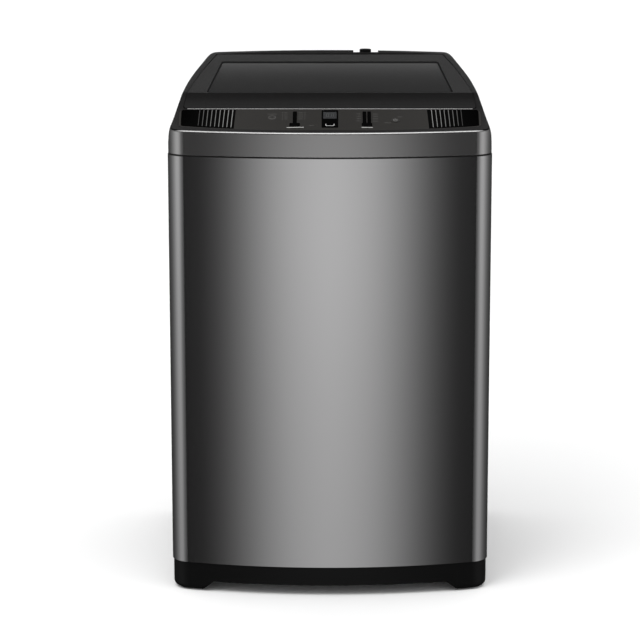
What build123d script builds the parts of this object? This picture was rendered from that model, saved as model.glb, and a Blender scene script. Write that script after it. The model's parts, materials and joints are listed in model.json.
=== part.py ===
from build123d import *
import math
import os

os.makedirs("parts", exist_ok=True)

# ---------------------------------------------------------------------------
# Top load washing machine, bow front, one-piece glazed lid hinged at the back.
# Millimetres. Origin on the floor below the middle of the footprint, +Z up,
# front of the machine faces -Y.
# ---------------------------------------------------------------------------

# envelope
WIDTH = 540.0
DEPTH = 550.0
FRONT = -DEPTH / 2            # foremost point of the bowed front
REAR = DEPTH / 2              # rearmost point of the top cover
CAB_REAR = 272.0              # rear face of the sheet metal cabinet
BOW_R = 890.0                 # plan radius of the bowed front
CORNER_R = 38.0               # plan radius of the front corners
REAR_R = 16.0
SHEET = 0.8                   # cabinet sheet

# heights
Z_SKIRT = 18.0                # lower edge of the base skirt
Z_FOOT = 1.2                  # underside of the base's corner feet
Z_BASE = 50.0                 # base to cabinet seam
Z_SEAM = 746.0                # cabinet to top cover seam
Z_FASCIA = 789.6              # upper edge of the front fascia
Z_NOZZLE = 878.0              # top of the inlet thread

# sloped control panel: passes through (FRONT+4, 788) and (FRONT+79, 819)
PANEL_A = math.degrees(math.atan2(29.6, 75.5))
PANEL_Y0, PANEL_Z0 = FRONT + 4.0, 789.6

# lid
LID_A = math.degrees(math.atan2(30.0, 347.0))
LID_Y0, LID_Z0 = FRONT + 150.0, 842.0
LID_T = 20.0
HINGE_Y = FRONT + 492.0
KNUCKLE_R = 11.1
PIN_R = 3.0
DRAWER_Z = 750.0              # floor of the detergent drawer's cavity
DECK_DROP = 24.0              # deck below the lid's upper plane
WALL = 3.0                    # plastic wall

# wet side
TUB_R = 232.0
TUB_Z0, TUB_Z1 = 200.0, 668.0
BASKET_R = 205.0
ROD_X, ROD_Y = 205.0, 205.0
ROD_R = 4.0
SHAFT_R = 15.0
WASH_R = 8.0
RUN = 0.08                    # radial running clearance

# drain: bellows from the valve down to the fixed outlet pipe
DRAIN = (120.0, 150.0)
OUTLET_Z = 98.0
BELLOWS_Z0, BELLOWS_Z1 = 114.0, 158.0

# belt drive
MOTOR_X = -150.0
PULLEY_Z0, PULLEY_Z1 = 72.0, 92.0
CLUTCH_PULLEY_R, MOTOR_PULLEY_R = 60.0, 34.0
GROOVE = 7.0

PANEL = Plane(
    origin=(0, PANEL_Y0, PANEL_Z0),
    x_dir=(1, 0, 0),
    z_dir=(0, -math.sin(math.radians(PANEL_A)), math.cos(math.radians(PANEL_A))),
)
LID = Plane(
    origin=(0, LID_Y0, LID_Z0),
    x_dir=(1, 0, 0),
    z_dir=(0, -math.sin(math.radians(LID_A)), math.cos(math.radians(LID_A))),
)


def finish(part, name):
    part.label = name
    export_step(part, f"parts/{name}.step")


def lid_z(y, drop=0.0):
    """Height of the lid's upper plane at y, less a drop measured square to it."""
    return (
        LID_Z0
        + (y - LID_Y0) * math.tan(math.radians(LID_A))
        - drop / math.cos(math.radians(LID_A))
    )


HINGE_Z = lid_z(HINGE_Y, KNUCKLE_R)


def panel_z(y):
    """Height of the panel's slope at y."""
    return PANEL_Z0 + (y - PANEL_Y0) * math.tan(math.radians(PANEL_A))


PANEL_TOP_Z = panel_z(FRONT + 79.5)
CREASE_Y, CREASE_Z = FRONT + 132.0, lid_z(FRONT + 132.0)  # where the lid turns down to the panel
LID_RISE = (CREASE_Z - 1.0 - PANEL_TOP_Z) / (132.0 - 79.5)


def bow_y(x, inset=0.0):
    return FRONT + BOW_R - math.sqrt((BOW_R - inset) ** 2 - x**2)


def plan(inset, rear, front_r=None, rear_r=None):
    """Plan outline of the machine, moved in by inset, closed at y = rear."""
    w = WIDTH / 2 - inset
    fr = CORNER_R - inset if front_r is None else front_r
    rr = max(REAR_R - inset, 2.0) if rear_r is None else rear_r
    with BuildSketch(mode=Mode.PRIVATE) as s:
        with BuildLine():
            ThreePointArc((-w, bow_y(w, inset)), (0, FRONT + inset), (w, bow_y(w, inset)))
            Polyline((w, bow_y(w, inset)), (w, rear), (-w, rear), (-w, bow_y(w, inset)))
        make_face()
        fillet(s.vertices().group_by(Axis.Y)[0], fr)
        fillet(s.vertices().group_by(Axis.Y)[-1], rr)
    return s.sketch


def lid_plan(grow, front=FRONT + 81.2, rear=FRONT + 503.1, corner=5.0, flare=0.0):
    """Plan outline of the lid: its sides draw in towards the back."""
    with BuildSketch(mode=Mode.PRIVATE) as s:
        with BuildLine():
            f, r = front, rear
            wf, wm, wr = 243.0 + grow, 227.5 + grow + flare / 2, 203.5 + grow + flare
            ThreePointArc((wf, f), (wm, FRONT + 290), (wr, r))
            Line((wr, r), (-wr, r))
            ThreePointArc((-wr, r), (-wm, FRONT + 290), (-wf, f))
            Line((-wf, f), (wf, f))
        make_face()
        fillet(s.vertices(), corner)
    return s.sketch


def side_profile(t):
    """Cover seen from the side, (y, z), lowered by t."""
    with BuildSketch(Plane.YZ, mode=Mode.PRIVATE) as s:
        with BuildLine():
            Polyline(
                (FRONT + t, 700),
                (FRONT + t, PANEL_TOP_Z - 79.5 * LID_RISE + t * LID_RISE - t),
                (CREASE_Y, CREASE_Z - 1.0 - t),
                (FRONT + 500, 871.5 - t),
                (FRONT + 536, 877.0 - t),
                (REAR - t, 868.0 - t),
                (REAR - t, 700),
                close=True,
            )
        make_face()
        fillet(s.vertices().sort_by_distance((CREASE_Y, CREASE_Z - 1.0 - t))[0], 100)
        fillet(s.vertices().sort_by_distance((FRONT + 536, 877.0 - t))[0], 6)
    return s.sketch


FRONT_SIDE = [
    (270, 748), (268.6, 768), (266.8, 784), (261.3, 800), (256.2, 814), (250.9, 830), (246.2, 843),
    (239.5, 854), (230.3, 862), (219.8, 868.3), (206, 871.2),
]
REAR_SIDE = [
    (270, 748), (269.0, 768), (267.4, 784), (262.0, 800), (254.5, 814), (246.2, 830), (238.9, 843),
    (231.8, 854), (225.6, 862.0), (218.0, 868.4), (206, 871.4),
]


def crown(t):
    """Body of the cover drawn in by t: sides that round over to a low crown, with tighter shoulders at the back."""
    with BuildPart(mode=Mode.PRIVATE) as p:
        for y, right in ((FRONT - 15, FRONT_SIDE), (-20, FRONT_SIDE), (REAR + 15, REAR_SIDE)):
            with BuildSketch(Plane.XZ.offset(-y)):
                with BuildLine():
                    pts = [(x - t, z - (t if z > 860 else t * 0.5 if z > 840 else 0)) for x, z in right]
                    Spline(*pts, tangents=[(0, 1), (-1, 0.05)])
                    ThreePointArc(pts[-1], (0, 875.5 - t), (-pts[-1][0], pts[-1][1]))
                    Spline(*[(-x, z) for x, z in reversed(pts)], tangents=[(-1, -0.05), (0, -1)])
                    Polyline((-pts[0][0], pts[0][1]), (-pts[0][0], 700), (pts[0][0], 700), (pts[0][0], pts[0][1]))
                make_face()
        loft()
    return p.part


def slab(y0, y1, d0, d1=None, top=905.0):
    """Section (y, z) parallel to the lid, from drop d0 below its upper plane to drop d1, or up to a level top."""
    with BuildSketch(Plane.YZ, mode=Mode.PRIVATE) as s:
        with BuildLine():
            up = [(y1, top), (y0, top)] if d1 is None else [(y1, lid_z(y1, d1)), (y0, lid_z(y0, d1))]
            Polyline((y0, lid_z(y0, d0)), (y1, lid_z(y1, d0)), *up, close=True)
        make_face()
    return s.sketch


def lid_window(grow=0.0):
    """Outline of the lid's window, in the lid's own plane."""
    c = math.cos(math.radians(LID_A))
    y0, y1 = -14.5 / c - grow, 272.0 / c + grow
    with BuildSketch(mode=Mode.PRIVATE) as s:
        with BuildLine():
            Polyline(
                (-207.5 - grow, y0), (207.5 + grow, y0), (193.5 + grow, y1), (-193.5 - grow, y1),
                close=True,
            )
        make_face()
        fillet(s.vertices(), 8.0 + max(grow, -4))
    return s.sketch


with BuildPart() as slope:
    # the body below the panel's surface, which is ruled from the bowed upper edge of
    # the fascia to the straight line in front of the lid
    for x in range(-280, 281, 56):
        y1 = bow_y(x) + 4.0
        rise = (PANEL_TOP_Z - PANEL_Z0) / (FRONT + 79.5 - y1)
        with BuildSketch(Plane.YZ.offset(x)):
            with BuildLine():
                Polyline(
                    (FRONT - 10, 640), (FRONT - 10, PANEL_Z0 - rise * (y1 - FRONT + 10)),
                    (FRONT + 79.5, PANEL_TOP_Z), (FRONT + 150, 880), (REAR + 10, 930), (REAR + 10, 640),
                    close=True,
                )
            make_face()
    loft()


def below(t):
    """What lies under the panel's surface lowered by t."""
    return slope.part.moved(Location((0, 0, -t)))


def ring(r0, r1, at=(0, 0)):
    with BuildSketch(mode=Mode.PRIVATE) as s:
        with Locations(at):
            Circle(r1)
            if r0 > 0:
                Circle(r0, mode=Mode.SUBTRACT)
    return s.sketch


def opening_plan(grow=0.0):
    """The deck's opening over the basket."""
    with BuildSketch(mode=Mode.PRIVATE) as s:
        with Locations((0, 3)):
            RectangleRounded(380 + 2 * grow, 326 + 2 * grow, 112 + grow)
    return s.sketch


# ---------------------------------------------------------------------------
# Base
# ---------------------------------------------------------------------------
with BuildPart() as base_frame:
    with BuildSketch(Plane.XY.offset(Z_FOOT)):
        add(plan(2.0, CAB_REAR - 2))
    extrude(amount=Z_BASE - Z_FOOT)
    fillet(base_frame.faces().sort_by(Axis.Z)[0].edges(), 9.0)
    # hollow underside, leaving a skirt, a floor in each foot and a seat for the cabinet
    with BuildSketch(Plane.XY.offset(Z_FOOT + 7)):
        add(plan(6.5, CAB_REAR - 6.5))
    extrude(amount=Z_BASE - Z_FOOT - 7 - 4, mode=Mode.SUBTRACT)
    with BuildSketch(Plane.XY.offset(Z_BASE - 5)):
        RectangleRounded(470, 440, 60)
    extrude(amount=10, mode=Mode.SUBTRACT)
    # between the feet the skirt stops short of the floor
    with BuildSketch(Plane.XZ):
        with BuildLine():
            Polyline((-220, 0), (-198, Z_SKIRT), (198, Z_SKIRT), (220, 0), close=True)
        make_face()
    extrude(amount=300, both=True, mode=Mode.SUBTRACT)
    with BuildSketch(Plane.YZ):
        with BuildLine():
            Polyline((-196, 0), (-176, Z_SKIRT), (176, Z_SKIRT), (196, 0), close=True)
        make_face()
    extrude(amount=300, both=True, mode=Mode.SUBTRACT)
    # locating lip inside the cabinet's lower flange
    with BuildSketch(Plane.XY.offset(Z_BASE)):
        add(plan(14.0, CAB_REAR - 14))
        add(plan(17.0, CAB_REAR - 17), mode=Mode.SUBTRACT)
    extrude(amount=8)
    # stiffening ribs across the corner seats
    for sx in (-1, 1):
        for sy in (-1, 1):
            with Locations((sx * 238, sy * 214, 27)):
                Cylinder(9, 38)
    # threaded boss of the adjustable foot, front right
    with Locations((238, -214, 20)):
        Cylinder(5.1, 60, mode=Mode.SUBTRACT)
finish(base_frame.part, "base_frame")

with BuildPart() as foot_pads:
    for sx, sy in ((-1, -1), (-1, 1), (1, 1)):
        with BuildSketch(Plane.XY):
            with Locations((sx * 238, sy * 214)):
                Circle(14)
        extrude(amount=Z_FOOT)
finish(foot_pads.part, "foot_pads")

with BuildPart() as leveling_foot:
    with BuildSketch(Plane.XY):
        with Locations((238, -214)):
            Circle(14)
    extrude(amount=1.1)
    chamfer(leveling_foot.faces().sort_by(Axis.Z)[-1].edges(), 0.4)
    with Locations((238, -214, 1.0)):
        Cylinder(5.0, 39, align=(Align.CENTER, Align.CENTER, Align.MIN))
finish(leveling_foot.part, "leveling_foot")

# ---------------------------------------------------------------------------
# Cabinet and rear panel
# ---------------------------------------------------------------------------
with BuildPart() as cabinet_shell:
    with BuildSketch(Plane.XY.offset(Z_BASE)):
        add(plan(0, CAB_REAR))
        add(plan(SHEET, CAB_REAR - SHEET), mode=Mode.SUBTRACT)
    extrude(amount=Z_SEAM - Z_BASE)
    for z in (Z_BASE, Z_SEAM - SHEET):
        with BuildSketch(Plane.XY.offset(z)):
            add(plan(0.4, CAB_REAR - 0.4))
            add(plan(13.5, CAB_REAR - 13.5), mode=Mode.SUBTRACT)
        extrude(amount=SHEET)
    with BuildSketch(Plane.XZ.offset(-CAB_REAR + 6)):
        with Locations((0, 378)):
            RectangleRounded(424, 604, 14)
    extrude(amount=-12, mode=Mode.SUBTRACT)
finish(cabinet_shell.part, "cabinet_shell")

SCREW_AT = [(-218, 120), (218, 120), (-218, 300), (218, 300), (-218, 480), (218, 480), (-218, 660), (218, 660)]
with BuildPart() as rear_panel:
    with BuildSketch(Plane.XZ.offset(-CAB_REAR)):
        with Locations((0, 378)):
            RectangleRounded(450, 630, 16)
        with Locations((DRAIN[0], OUTLET_Z)):
            Circle(16, mode=Mode.SUBTRACT)
        with Locations((-150, 640)):
            Circle(9, mode=Mode.SUBTRACT)
    extrude(amount=-SHEET)
    # pressed beads and the raised centre field
    with BuildSketch(Plane.XZ.offset(-CAB_REAR - SHEET)):
        with Locations((0, 385)):
            RectangleRounded(392, 470, 24)
    extrude(amount=-1.4, taper=40)
    with BuildSketch(Plane.XZ.offset(-CAB_REAR - SHEET - 1.4)):
        with Locations((0, 235), (0, 335), (0, 435), (0, 535)):
            RectangleRounded(330, 26, 12.9)
    extrude(amount=1.6, mode=Mode.SUBTRACT)
    with BuildSketch(Plane.XZ.offset(-CAB_REAR + 1)):
        with Locations(*SCREW_AT):
            Circle(2.2)
    extrude(amount=-4, mode=Mode.SUBTRACT)
finish(rear_panel.part, "rear_panel")

with BuildPart() as panel_screws:
    with BuildSketch(Plane.XZ.offset(-CAB_REAR - SHEET)):
        with Locations(*SCREW_AT):
            Circle(4.2)
    extrude(amount=-1.9)
    with BuildSketch(Plane.XZ.offset(-CAB_REAR - SHEET - 1.1)):
        with Locations(*SCREW_AT):
            Rectangle(5.4, 0.9)
            Rectangle(0.9, 5.4)
    extrude(amount=-2, mode=Mode.SUBTRACT)
    with BuildSketch(Plane.XZ.offset(-CAB_REAR - SHEET)):
        with Locations(*SCREW_AT):
            Circle(2.1)
    extrude(amount=SHEET)
finish(panel_screws.part, "panel_screws")

with BuildPart() as cord_grommet:
    with BuildSketch(Plane.XZ.offset(-CAB_REAR)):
        with Locations((-150, 640)):
            Circle(8.9)
            Circle(4.0, mode=Mode.SUBTRACT)
    extrude(amount=-SHEET)
    with BuildSketch(Plane.XZ.offset(-CAB_REAR - SHEET)):
        with Locations((-150, 640)):
            Circle(12)
            Circle(4.0, mode=Mode.SUBTRACT)
    extrude(amount=-2.0)
    with BuildSketch(Plane.XZ.offset(-CAB_REAR)):
        with Locations((-150, 640)):
            Circle(12)
    extrude(amount=8, taper=12)
    with BuildSketch(Plane.XZ.offset(-REAR - 5)):
        with Locations((-150, 640)):
            Circle(4.0)
    extrude(amount=30, mode=Mode.SUBTRACT)
finish(cord_grommet.part, "cord_grommet")

# ---------------------------------------------------------------------------
# Top cover: dark plastic deck with the lid's pocket, the opening and its skirt
# ---------------------------------------------------------------------------
PK = dict(front=FRONT + 79.6, rear=FRONT + 505.5, corner=6.2, flare=1.4)
POCKET_X0, POCKET_X1, POCKET_Y, POCKET_Z = 43.0, 88.5, FRONT + 515.0, 836.0
NOZZLE = (65.0, FRONT + 532.0)
PANEL_WALL = WALL * math.cos(math.radians(PANEL_A))

with BuildPart() as cover_outer:
    with BuildSketch(Plane.XY.offset(Z_SEAM)):
        add(plan(1.0, REAR, rear_r=20))
    extrude(amount=140)
    extrude(side_profile(0), amount=300, both=True, mode=Mode.INTERSECT)
    add(crown(0), mode=Mode.INTERSECT)
    add(below(0), mode=Mode.INTERSECT)

with BuildPart() as cover_inner:
    with BuildSketch(Plane.XY.offset(Z_SEAM - 1)):
        add(plan(1.0 + WALL, REAR - WALL, rear_r=17))
    extrude(amount=140)
    extrude(side_profile(WALL), amount=300, both=True, mode=Mode.INTERSECT)
    add(crown(WALL), mode=Mode.INTERSECT)
    add(below(WALL), mode=Mode.INTERSECT)

with BuildPart() as pocket:
    with BuildSketch(Plane.XY.offset(780)):
        add(lid_plan(1.2, **PK))
    extrude(amount=120)
    # the lid's sides swing down here when it stands open
    with Locations((0, HINGE_Y + 7.3, 840)):
        Box(2 * 207.4, 9.8, 100, align=(Align.CENTER, Align.CENTER, Align.MIN))
    extrude(slab(-240, 260, DECK_DROP), amount=300, both=True, mode=Mode.INTERSECT)

with BuildPart() as pocket_liner:
    with BuildSketch(Plane.XY.offset(770)):
        add(lid_plan(3.7, front=PK["front"] - 2.5, rear=PK["rear"] + 2.5, corner=8.7, flare=1.4))
    extrude(amount=140)
    extrude(slab(-240, 260, DECK_DROP + 2.5), amount=300, both=True, mode=Mode.INTERSECT)
    add(cover_outer.part, mode=Mode.INTERSECT)

with BuildPart() as skirt:
    with BuildSketch(Plane.XY.offset(722)):
        add(opening_plan(2.5))
    extrude(amount=150)
    with BuildSketch(Plane.YZ):
        with BuildLine():
            Polyline(
                (-240, 700), (260, 700), (260, lid_z(260, DECK_DROP)), (-240, lid_z(-240, DECK_DROP)),
                close=True,
            )
        make_face()
    extrude(amount=300, both=True, mode=Mode.INTERSECT)

with BuildPart() as recess_walls:
    with Locations(((POCKET_X0 + POCKET_X1) / 2, (POCKET_Y - 2.5 + REAR) / 2, POCKET_Z - 3)):
        Box(
            POCKET_X1 - POCKET_X0 + 5, REAR - POCKET_Y + 2.5, 60,
            align=(Align.CENTER, Align.CENTER, Align.MIN),
        )
    add(cover_outer.part, mode=Mode.INTERSECT)

with BuildPart() as fascia_back:
    with BuildSketch(Plane.XY.offset(Z_SEAM)):
        add(plan(6.4, REAR))
        add(plan(9.0, REAR - 8), mode=Mode.SUBTRACT)
        with Locations((0, FRONT + 110 + 300)):
            Rectangle(700, 600, mode=Mode.SUBTRACT)
    extrude(amount=60)
    add(cover_outer.part, mode=Mode.INTERSECT)

with BuildPart() as seat_block:
    with BuildSketch(PANEL.offset(-24)):
        with Locations((0, 44.2)):
            RectangleRounded(500.6, 72, 9)
    extrude(amount=40)

with BuildPart() as panel_seat:
    with BuildSketch(Plane.XY.offset(760)):
        add(plan(10.0, REAR, front_r=26))
    extrude(amount=90)
    add(seat_block.part, mode=Mode.INTERSECT)
    add(below(1.6), mode=Mode.SUBTRACT)

with BuildPart() as top_cover:
    add(cover_outer.part)
    add(cover_inner.part, mode=Mode.SUBTRACT)
    # room for the front fascia
    with BuildSketch(Plane.XY.offset(Z_SEAM + 1.8)):
        with Locations((0, FRONT + 86 - 300)):
            Rectangle(700, 600)
        add(plan(6.4, REAR), mode=Mode.SUBTRACT)
    extrude(amount=Z_FASCIA + 0.4 - Z_SEAM - 1.8, mode=Mode.SUBTRACT)
    add(fascia_back.part)
    add(pocket_liner.part)
    add(skirt.part)
    add(recess_walls.part)
    add(pocket.part, mode=Mode.SUBTRACT)
    with BuildSketch(Plane.XY.offset(700)):
        add(opening_plan(0))
    extrude(amount=200, mode=Mode.SUBTRACT)
    # recess round the inlet thread, open to the back
    with Locations(((POCKET_X0 + POCKET_X1) / 2, (POCKET_Y + REAR + 10) / 2, POCKET_Z)):
        Box(
            POCKET_X1 - POCKET_X0, REAR + 10 - POCKET_Y, 60,
            align=(Align.CENTER, Align.CENTER, Align.MIN), mode=Mode.SUBTRACT,
        )
    with Locations((NOZZLE[0], NOZZLE[1], POCKET_Z - 2)):
        Cylinder(12.6, 20, mode=Mode.SUBTRACT)
    # seat of the control panel and the window under it
    add(panel_seat.part, mode=Mode.SUBTRACT)
    with BuildSketch(PANEL):
        with Locations((0, 46.1)):
            RectangleRounded(262, 54.2, 4)
    extrude(amount=-10, mode=Mode.SUBTRACT)
    # hinge bosses
    for sx in (-1, 1):
        with BuildSketch(Plane(origin=(sx * 206, HINGE_Y, HINGE_Z), z_dir=(sx, 0, 0))):
            Circle(6.0)
        extrude(amount=13)
        with BuildSketch(Plane(origin=(sx * 200, HINGE_Y, HINGE_Z), z_dir=(sx, 0, 0))):
            Circle(PIN_R + RUN)
        extrude(amount=20, mode=Mode.SUBTRACT)
    # drawer mouth in the back of the skirt
    with Locations((0, 168, DRAWER_Z + 25)):
        Box(122, 12, 50, mode=Mode.SUBTRACT)
finish(top_cover.part, "top_cover")

# Front fascia: silver band under the control panel, wrapped round both corners
with BuildPart() as front_fascia:
    with BuildSketch(Plane.XY.offset(Z_SEAM + 2.2)):
        add(plan(1.0, REAR))
        add(plan(6.0, REAR - 5), mode=Mode.SUBTRACT)
    extrude(amount=Z_FASCIA - Z_SEAM - 2.2)
    rim = front_fascia.faces().sort_by(Axis.Z)[-1].outer_wire().edges()
    fillet(rim, 4.2)
    sill = front_fascia.faces().sort_by(Axis.Z)[0].outer_wire().edges()
    fillet(sill, 1.0)
    add(crown(0.1), mode=Mode.INTERSECT)
    with BuildSketch(Plane.XY.offset(Z_SEAM)):
        with Locations((0, FRONT + 85.6 + 300)):
            Rectangle(700, 600)
    extrude(amount=60, mode=Mode.SUBTRACT)
finish(front_fascia.part, "front_fascia")

# ---------------------------------------------------------------------------
# Lid
# ---------------------------------------------------------------------------
LID_FRONT = FRONT + 81.2


def lid_section():
    n_y, n_z = -math.sin(math.radians(LID_A)), math.cos(math.radians(LID_A))
    below = LID_T - KNUCKLE_R
    with BuildSketch(Plane.YZ, mode=Mode.PRIVATE) as s:
        with BuildLine():
            Polyline(
                (LID_FRONT - 6, lid_z(LID_FRONT - 6, LID_T)),
                (HINGE_Y - below * n_y, HINGE_Z - below * n_z),
                (HINGE_Y + KNUCKLE_R * n_y, HINGE_Z + KNUCKLE_R * n_z),
                (CREASE_Y, CREASE_Z),
            )
            ThreePointArc(
                (CREASE_Y, CREASE_Z),
                ((CREASE_Y + LID_FRONT - 6) / 2 - 0.6, (CREASE_Z + 817.7) / 2 + 1.55),
                (LID_FRONT - 6, 817.7),
            )
            Line((LID_FRONT - 6, 817.7), (LID_FRONT - 6, lid_z(LID_FRONT - 6, LID_T)))
        make_face()
        fillet(s.vertices().sort_by_distance((CREASE_Y, CREASE_Z))[0], 14)
        with Locations((HINGE_Y, HINGE_Z)):
            Circle(KNUCKLE_R)
    return s.sketch


# room inside the lid frame, open from below
with BuildPart() as channel:
    with BuildSketch(Plane.XY.offset(780)):
        add(lid_plan(-3.0, front=LID_FRONT + 3, rear=FRONT + 480, corner=4))
    extrude(amount=120)
    with BuildSketch(LID):
        add(lid_window(-4.0))
    extrude(amount=-60, both=True, mode=Mode.SUBTRACT)
    with BuildSketch(Plane.YZ):
        with BuildLine():
            Polyline(
                (FRONT + 92, lid_z(FRONT + 92, 25)), (FRONT + 92, 820.2), (FRONT + 125, 832.0),
                (FRONT + 125, lid_z(FRONT + 125, 7)), (FRONT + 480, lid_z(FRONT + 480, 7)),
                (FRONT + 480, lid_z(FRONT + 480, 25)), close=True,
            )
        make_face()
    extrude(amount=300, both=True, mode=Mode.INTERSECT)

with BuildPart() as lid_frame:
    with BuildSketch(Plane.XY.offset(780)):
        add(lid_plan(0))
    extrude(amount=120)
    extrude(lid_section(), amount=300, both=True, mode=Mode.INTERSECT)
    with BuildSketch(LID):
        add(lid_window(0.5))
    extrude(amount=-4.5, mode=Mode.SUBTRACT)
    with BuildSketch(LID):
        add(lid_window(-7.0))
    extrude(amount=-30, mode=Mode.SUBTRACT)
    # hollow from below, closed by the inner frame
    add(channel.part, mode=Mode.SUBTRACT)
    for sx in (-1, 1):
        with BuildSketch(Plane(origin=(sx * 190, HINGE_Y, HINGE_Z), z_dir=(sx, 0, 0))):
            Circle(PIN_R)
        extrude(amount=30, mode=Mode.SUBTRACT)
finish(lid_frame.part, "lid_frame")

with BuildPart() as lid_inner_frame:
    with BuildSketch(Plane.XY.offset(780)):
        add(lid_plan(-3.2, front=LID_FRONT + 3, rear=FRONT + 480, corner=4.2))
    extrude(amount=120)
    with BuildSketch(LID):
        add(lid_window(-3.8))
    extrude(amount=60, both=True, mode=Mode.SUBTRACT)
    extrude(slab(FRONT + 92.3, FRONT + 479.7, LID_T, LID_T - 2.0), amount=300, both=True, mode=Mode.INTERSECT)
finish(lid_inner_frame.part, "lid_inner_frame")

with BuildPart() as lid_glass:
    with BuildSketch(LID.offset(-0.5)):
        add(lid_window(0.3))
    extrude(amount=-4.0)
finish(lid_glass.part, "lid_glass")

with BuildPart() as lid_trim:
    with Locations((0, LID_FRONT - 0.4, 818.4)):
        Box(474, 0.8, 2.6)
finish(lid_trim.part, "lid_trim")

with BuildPart() as lid_hinge_pins:
    for sx in (-1, 1):
        with BuildSketch(Plane(origin=(sx * 190, HINGE_Y, HINGE_Z), z_dir=(sx, 0, 0))):
            Circle(PIN_R)
        extrude(amount=26)
finish(lid_hinge_pins.part, "lid_hinge_pins")

with BuildPart() as lid_bumpers:
    with BuildSketch(LID.offset(-DECK_DROP)):
        with Locations((-212, -40), (212, -40)):
            Circle(5)
    extrude(amount=DECK_DROP - LID_T - 0.1)
finish(lid_bumpers.part, "lid_bumpers")

# ---------------------------------------------------------------------------
# Control panel, in the plane of the slope: x across, y up the slope
# ---------------------------------------------------------------------------
RIBS_L = [-162.1 - 6.88 * i for i in range(9)]
RIBS_R = [169.5 + 7.0 * i for i in range(8)]
LEAN = 1.9  # the ribs lean towards the middle of the panel, degrees


def tee(stems, foot, grow=0.0):
    """Key with a foot and one or more stems up the slope."""
    with BuildSketch(mode=Mode.PRIVATE) as s:
        x0, x1, y0, y1 = foot
        with Locations(((x0 + x1) / 2, (y0 + y1) / 2)):
            RectangleRounded(x1 - x0 + 2 * grow, y1 - y0 + 2 * grow, 1.4 + grow)
        for a, b, top in stems:
            with Locations(((a + b) / 2, (y0 + top) / 2)):
                RectangleRounded(b - a + 2 * grow, top - y0 + 2 * grow, 1.4 + grow)
    return s.sketch


def front_block(inset, corner):
    """Upright block inside the bow-fronted outline, as tall as the panel."""
    with BuildPart(mode=Mode.PRIVATE) as b:
        with BuildSketch(Plane.XY.offset(740)):
            add(plan(inset, REAR, front_r=corner))
        extrude(amount=120)
    return b.part


def layer(outline, low, high, inset=None, corner=20.0):
    """Outline pressed through the panel, kept between depths low and high below its surface."""
    with BuildPart(mode=Mode.PRIVATE) as p:
        with BuildSketch(PANEL.offset(-30)):
            add(outline)
        extrude(amount=45)
        if inset is not None:
            add(front_block(inset, corner), mode=Mode.INTERSECT)
        add(below(high), mode=Mode.INTERSECT)
        add(below(low), mode=Mode.SUBTRACT)
    return p.part


LEFT_KEY = ([(-61.2, -54.8, 72.0)], (-66.5, -49.5, 22.7, 32.5))
RIGHT_KEY = ([(54.2, 60.0, 72.0), (62.0, 67.8, 72.0)], (52.5, 69.5, 22.7, 32.5))
START_KEY = (16.0, 11.0, 26.0)
POWER_KEY = (108.0, 44.0, 7.0)

with BuildSketch() as panel_outline:
    with Locations((0, 44.2)):
        RectangleRounded(500, 71.4, 8.7)
with BuildSketch() as zone_left:
    with BuildLine():
        Polyline((-246.5, 11.2), (-158.4, 11.2), (-156.1, 79.4), (-246.5, 79.4), close=True)
    make_face()
    fillet(zone_left.vertices().sort_by_distance((-246.5, 11.2))[0], 15)
    fillet(zone_left.vertices().sort_by_distance((-246.5, 79.4))[0], 4)
with BuildSketch() as zone_right:
    with BuildLine():
        Polyline((246.5, 11.2), (163.4, 11.2), (161.1, 79.4), (246.5, 79.4), close=True)
    make_face()
    fillet(zone_right.vertices().sort_by_distance((246.5, 11.2))[0], 15)
    fillet(zone_right.vertices().sort_by_distance((246.5, 79.4))[0], 4)
with BuildSketch() as ribs_outline:
    with Locations(*[(x, 45.3) for x in RIBS_L]):
        Rectangle(1.1, 66, rotation=-LEAN)
    with Locations(*[(x, 45.3) for x in RIBS_R]):
        Rectangle(1.1, 66, rotation=LEAN)
with BuildSketch() as window_outline:
    with Locations((0, 46.5)):
        RectangleRounded(27.4, 60.6, 2)
with BuildSketch() as start_hole:
    with Locations((0, START_KEY[2])):
        RectangleRounded(START_KEY[0] + 0.5, START_KEY[1] + 0.5, 1.7)
with BuildSketch() as start_face:
    with Locations((0, START_KEY[2])):
        RectangleRounded(START_KEY[0], START_KEY[1], 1.5)
with BuildSketch() as start_flange:
    with Locations((0, START_KEY[2])):
        RectangleRounded(START_KEY[0] + 2, START_KEY[1] + 2, 2)

with BuildPart() as control_panel:
    add(layer(panel_outline.sketch, 1.6, 0.0, inset=10.3, corner=25.7))
    add(layer(zone_left.sketch, 0.6, -5.0), mode=Mode.SUBTRACT)
    add(layer(zone_right.sketch, 0.6, -5.0), mode=Mode.SUBTRACT)
    with BuildSketch(PANEL.offset(-12)):
        add(window_outline.sketch)
        add(tee(*LEFT_KEY, grow=0.25))
        add(tee(*RIGHT_KEY, grow=0.25))
        with Locations(POWER_KEY[:2]):
            Circle(POWER_KEY[2] + 0.25)
    extrude(amount=20, mode=Mode.SUBTRACT)
finish(control_panel.part, "control_panel")

with BuildPart() as panel_inserts:
    add(layer(zone_left.sketch, 0.6, -0.1, inset=12.0, corner=24.0))
    add(layer(zone_right.sketch, 0.6, -0.1, inset=12.0, corner=24.0))
finish(panel_inserts.part, "panel_inserts")

with BuildPart() as panel_ribs:
    add(layer(ribs_outline.sketch, -0.1, -0.5, inset=14.0, corner=22.0))
finish(panel_ribs.part, "panel_ribs")

with BuildPart() as display_window:
    add(layer(window_outline.sketch, 1.6, -0.4))
    with BuildSketch(PANEL.offset(-12)):
        add(start_hole.sketch)
    extrude(amount=20, mode=Mode.SUBTRACT)
finish(display_window.part, "display_window")


def key(face, flange, high):
    """A key: cap through the panel, wider flange behind it."""
    with BuildPart(mode=Mode.PRIVATE) as k:
        add(layer(face, 2.4, high))
        add(layer(flange, 3.2, 1.65))
    return k.part


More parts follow.
